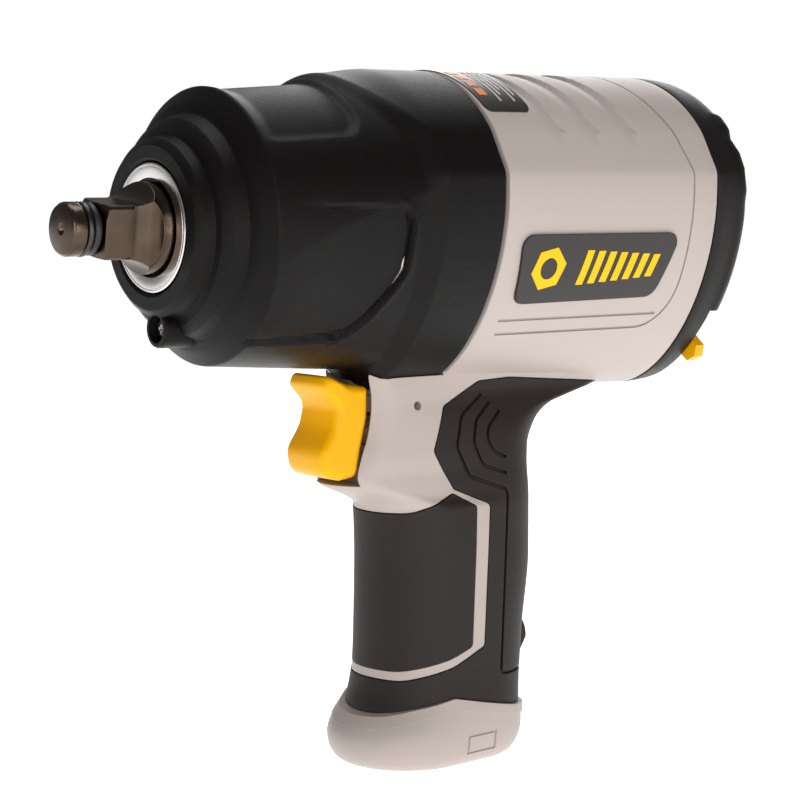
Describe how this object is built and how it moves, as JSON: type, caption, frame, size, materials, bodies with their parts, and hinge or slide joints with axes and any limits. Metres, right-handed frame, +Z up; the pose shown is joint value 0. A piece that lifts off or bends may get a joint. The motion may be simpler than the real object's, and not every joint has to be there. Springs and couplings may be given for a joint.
{
  "type": "air impact wrench",
  "caption": "Pistol-grip pneumatic impact wrench: square-drive anvil, twin-hammer mechanism, vane motor, composite body with rubber grips, sliding trigger, reverse lever.",
  "frame": {"origin": "centre of the bounding box's bottom: the tool stands upright on the flat base of its handle", "axes": "+Z up, +X from the square drive back to the rear cover (the drive axis is parallel to X, 139 mm up, in the plane Y = 0), +Y the tool's right-hand side seen from behind"},
  "size_m": [0.19, 0.0738, 0.1781],
  "materials": {
    "grey_composite": "fine-textured glass-filled nylon",
    "black_cover": "fine-textured",
    "black_rubber": "moulded, matte",
    "yellow_plastic": "satin",
    "bronzed_steel": "polished, warm dark coating",
    "ground_steel": "ground",
    "cast_aluminium": "machined casting",
    "bearing_bronze": "sintered",
    "seal_rubber": "smooth",
    "vane_fibre": "phenolic fibre",
    "muffler_felt": "pressed felt"
  },
  "bodies": {
    "shell": {"anvil_bush": "bearing_bronze", "badge_left": "black_cover", "badge_right": "black_cover", "base_screw_left": "ground_steel", "base_screw_right": "ground_steel", "boot_screw": "ground_steel", "case_gasket": "seal_rubber", "case_screw_lower_left": "ground_steel", "case_screw_lower_right": "ground_steel", "case_screw_upper_left": "ground_steel", "case_screw_upper_right": "ground_steel", "cover_screw_lower_left": "ground_steel", "cover_screw_lower_right": "ground_steel", "cover_screw_upper_left": "ground_steel", "cover_screw_upper_right": "ground_steel", "exhaust_muffler": "muffler_felt", "front_bearing_outer": "ground_steel", "front_grip": "black_rubber", "front_plate": "ground_steel", "hammer_case": "cast_aluminium", "handle_base": "grey_composite", "inlet_bushing": "ground_steel", "inlet_screen": "ground_steel", "motor_cylinder": "ground_steel", "motor_housing": "grey_composite", "nose_boot": "black_cover", "nose_seal": "seal_rubber", "rating_label": "black_cover", "rear_bearing_outer": "ground_steel", "rear_cover": "black_cover", "rear_grip": "black_rubber", "rear_plate": "ground_steel", "throttle_spring": "ground_steel", "trigger_bush": "bearing_bronze"},
    "rotor_train": {"rotor": "ground_steel", "hammer_cage": "ground_steel", "hammer_pin_front": "ground_steel", "hammer_pin_rear": "ground_steel", "front_bearing_inner": "ground_steel", "rear_bearing_inner": "ground_steel", "vane_1": "vane_fibre", "vane_2": "vane_fibre", "vane_3": "vane_fibre", "vane_4": "vane_fibre", "vane_5": "vane_fibre", "vane_6": "vane_fibre"},
    "anvil_train": {"anvil": "bronzed_steel", "socket_ring": "ground_steel", "socket_oring": "seal_rubber"},
    "hammer_front_body": {"hammer_front": "ground_steel"},
    "hammer_rear_body": {"hammer_rear": "ground_steel"},
    "front_balls": {"front_bearing_balls": "ground_steel"},
    "rear_balls": {"rear_bearing_balls": "ground_steel"},
    "trigger_group": {"trigger": "yellow_plastic", "trigger_rod": "ground_steel", "throttle_valve": "bearing_bronze"},
    "lever_group": {"direction_lever": "yellow_plastic", "reverse_valve": "cast_aluminium"},
    "dial": {"regulator_dial": "black_cover"}
  },
  "joints": [
    {"name": "rotor_spin", "type": "hinge", "parent": "shell", "child": "rotor_train", "pos_m": [0.035, 0, 0.139], "axis": [1, 0, 0], "continuous": true},
    {"name": "anvil_spin", "type": "hinge", "parent": "shell", "child": "anvil_train", "pos_m": [-0.06, 0, 0.139], "axis": [1, 0, 0], "continuous": true},
    {"name": "hammer_front_rock", "type": "hinge", "parent": "rotor_train", "child": "hammer_front_body", "pos_m": [-0.0319, 0, 0.1585], "axis": [1, 0, 0], "range_deg": [0, 5]},
    {"name": "hammer_rear_rock", "type": "hinge", "parent": "rotor_train", "child": "hammer_rear_body", "pos_m": [-0.0174, 0, 0.1195], "axis": [1, 0, 0], "range_deg": [0, 5]},
    {"name": "front_balls_orbit", "type": "hinge", "parent": "shell", "child": "front_balls", "pos_m": [0.0131, 0, 0.139], "axis": [1, 0, 0], "continuous": true},
    {"name": "rear_balls_orbit", "type": "hinge", "parent": "shell", "child": "rear_balls", "pos_m": [0.0625, 0, 0.139], "axis": [1, 0, 0], "continuous": true},
    {"name": "trigger_pull", "type": "slide", "parent": "shell", "child": "trigger_group", "axis": [1, 0, 0], "range_m": [0, 0.005], "stiffness_N_per_m": 1500, "springref_m": -0.004, "deforming": ["throttle_spring"]},
    {"name": "direction_lever_turn", "type": "hinge", "parent": "shell", "child": "lever_group", "pos_m": [0.0894, 0, 0.118], "axis": [1, 0, 0], "range_deg": [-15, 15]},
    {"name": "regulator_dial_turn", "type": "hinge", "parent": "shell", "child": "dial", "pos_m": [0.0894, 0, 0.118], "axis": [1, 0, 0], "range_deg": [-135, 135]}
  ],
  "couplings": [
    {"joint": "anvil_spin", "follows": "rotor_spin", "ratio": 1},
    {"joint": "front_balls_orbit", "follows": "rotor_spin", "ratio": 0.38},
    {"joint": "rear_balls_orbit", "follows": "rotor_spin", "ratio": 0.38}
  ]
}
